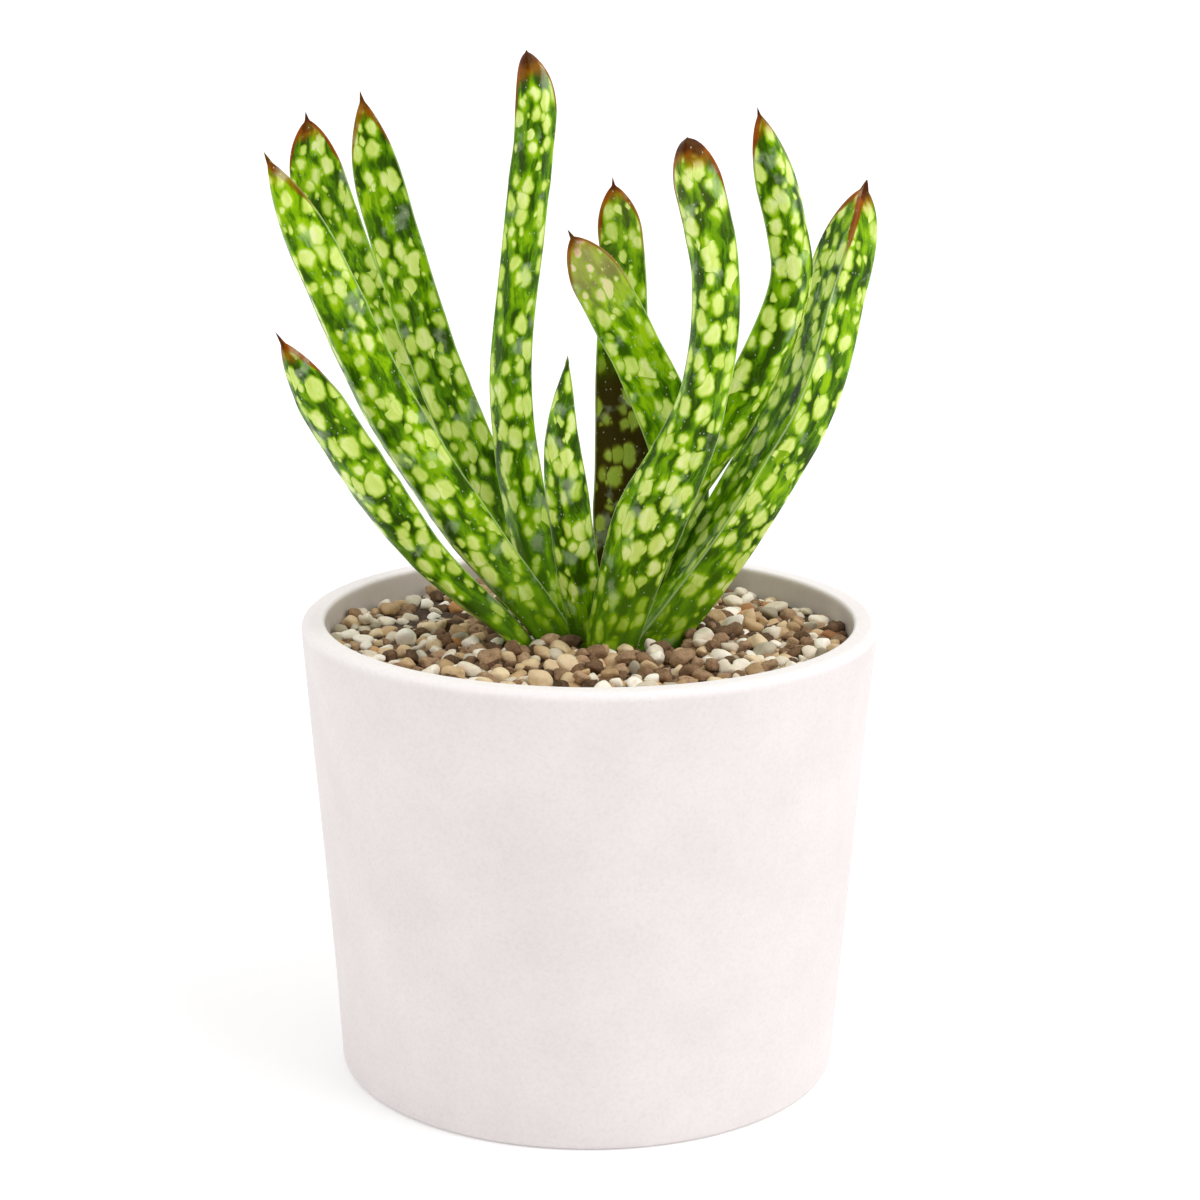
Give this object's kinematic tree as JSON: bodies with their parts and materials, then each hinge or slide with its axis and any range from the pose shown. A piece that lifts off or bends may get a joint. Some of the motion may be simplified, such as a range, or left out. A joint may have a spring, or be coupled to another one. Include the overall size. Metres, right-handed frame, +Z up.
{
  "type": "potted gasteria plant",
  "caption": "Clump of upright, thick, spotted succulent leaves in a straight-tapered matt white pot topped with mixed horticultural grit.",
  "frame": {"origin": "centre of the pot base, on the surface the pot stands on", "axes": "+Z up the pot and the plant; -Y is the front, towards the leaves that lean forward"},
  "size_m": [0.1356, 0.13, 0.2304],
  "materials": {
    "pot": "matte",
    "compost": "matte",
    "crown": "matte",
    "leaf": "satin",
    "grit": "matte",
    "stone_cream": "matte",
    "stone_tan": "matte",
    "stone_rust": "matte",
    "stone_brown": "matte"
  },
  "bodies": {
    "root": {"pot": "pot", "compost": "compost", "crown": "crown", "grit_bed": "grit", "leaf_front": "leaf", "leaf_short_front": "leaf", "leaf_low_left": "leaf", "leaf_long_left": "leaf", "leaf_far_right": "leaf", "leaf_tall": "leaf", "leaf_right": "leaf", "leaf_inner_left": "leaf", "leaf_bent": "leaf", "leaf_back": "leaf", "leaf_back_left": "leaf", "stone_01": "stone_cream", "stone_02": "stone_tan", "stone_03": "stone_rust", "stone_04": "stone_brown", "stone_05": "stone_cream", "stone_06": "stone_tan", "stone_07": "stone_rust", "stone_08": "stone_brown", "stone_09": "stone_cream", "stone_10": "stone_tan", "stone_11": "stone_rust", "stone_12": "stone_brown", "stone_13": "stone_cream", "stone_14": "stone_tan", "stone_15": "stone_rust", "stone_16": "stone_brown", "stone_17": "stone_cream", "stone_18": "stone_tan", "stone_19": "stone_rust", "stone_20": "stone_brown", "stone_21": "stone_cream", "stone_22": "stone_tan", "stone_23": "stone_rust", "stone_24": "stone_brown"}
  },
  "joints": []
}
